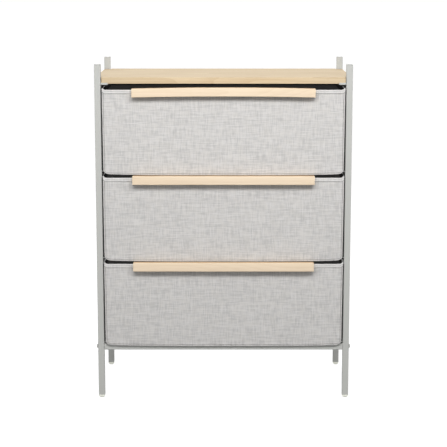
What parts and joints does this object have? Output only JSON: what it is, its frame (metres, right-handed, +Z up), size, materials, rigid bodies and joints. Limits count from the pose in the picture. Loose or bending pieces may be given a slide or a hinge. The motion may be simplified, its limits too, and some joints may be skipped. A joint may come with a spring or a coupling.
{
  "type": "fabric drawer dresser",
  "caption": "Narrow square-tube steel frame with a wood-grain top board let in between its posts, and stacked linen-covered drawers with full wooden bar handles.",
  "frame": {"origin": "on the floor under the centre of the whole dresser, handles and bolt heads included", "axes": "+Z up, -Y towards the front where the drawers open, +X to the right as seen from the front"},
  "size_m": [0.6066, 0.3272, 0.8],
  "materials": {
    "powder_coated_steel": "light grey powder coat with a fine satin texture",
    "bolt_steel": "dark plated steel, satin",
    "board_wood": "pale oak grain along the width, satin",
    "handle_wood": "pale solid wood, matt lacquer",
    "linen": "light grey linen-look cross-hatched weave, matt",
    "drawer_felt": "charcoal non-woven felt, matt",
    "base_board_card": "grey hardboard, matt",
    "cap_plastic": "light grey, matt",
    "glide_plastic": "translucent white, smooth"
  },
  "bodies": {
    "frame": {"front_left_post": "powder_coated_steel", "front_right_post": "powder_coated_steel", "rear_left_post": "powder_coated_steel", "rear_right_post": "powder_coated_steel", "front_left_post_cap": "cap_plastic", "front_right_post_cap": "cap_plastic", "rear_left_post_cap": "cap_plastic", "rear_right_post_cap": "cap_plastic", "front_left_foot_glide": "glide_plastic", "front_right_foot_glide": "glide_plastic", "rear_left_foot_glide": "glide_plastic", "rear_right_foot_glide": "glide_plastic", "front_left_bottom_rail_bolt": "bolt_steel", "front_right_bottom_rail_bolt": "bolt_steel", "rear_left_bottom_rail_bolt": "bolt_steel", "rear_right_bottom_rail_bolt": "bolt_steel", "rear_left_top_rail_bolt": "bolt_steel", "rear_right_top_rail_bolt": "bolt_steel", "left_top_rail": "powder_coated_steel", "right_top_rail": "powder_coated_steel", "front_bottom_rail": "powder_coated_steel", "rear_bottom_rail": "powder_coated_steel", "rear_top_rail": "powder_coated_steel", "top_board": "board_wood", "left_board_seat": "powder_coated_steel", "right_board_seat": "powder_coated_steel", "front_left_board_screw": "bolt_steel", "front_right_board_screw": "bolt_steel", "rear_left_board_screw": "bolt_steel", "rear_right_board_screw": "bolt_steel", "bottom_left_runner": "powder_coated_steel", "bottom_right_runner": "powder_coated_steel", "middle_left_runner": "powder_coated_steel", "middle_right_runner": "powder_coated_steel", "top_left_runner": "powder_coated_steel", "top_right_runner": "powder_coated_steel"},
    "bottom_drawer": {"bottom_drawer_walls": "drawer_felt", "bottom_drawer_floor": "drawer_felt", "bottom_drawer_front": "linen", "bottom_base_board": "base_board_card", "bottom_handle": "handle_wood", "bottom_left_handle_screw": "bolt_steel", "bottom_right_handle_screw": "bolt_steel"},
    "middle_drawer": {"middle_drawer_walls": "drawer_felt", "middle_drawer_floor": "drawer_felt", "middle_drawer_front": "linen", "middle_base_board": "base_board_card", "middle_handle": "handle_wood", "middle_left_handle_screw": "bolt_steel", "middle_right_handle_screw": "bolt_steel"},
    "top_drawer": {"top_drawer_walls": "drawer_felt", "top_drawer_floor": "drawer_felt", "top_drawer_front": "linen", "top_base_board": "base_board_card", "top_handle": "handle_wood", "top_left_handle_screw": "bolt_steel", "top_right_handle_screw": "bolt_steel"}
  },
  "joints": [
    {"name": "bottom_drawer_slide", "type": "slide", "parent": "frame", "child": "bottom_drawer", "axis": [0, -1, 0], "range_m": [0, 0.215]},
    {"name": "middle_drawer_slide", "type": "slide", "parent": "frame", "child": "middle_drawer", "axis": [0, -1, 0], "range_m": [0, 0.215]},
    {"name": "top_drawer_slide", "type": "slide", "parent": "frame", "child": "top_drawer", "axis": [0, -1, 0], "range_m": [0, 0.215]}
  ]
}
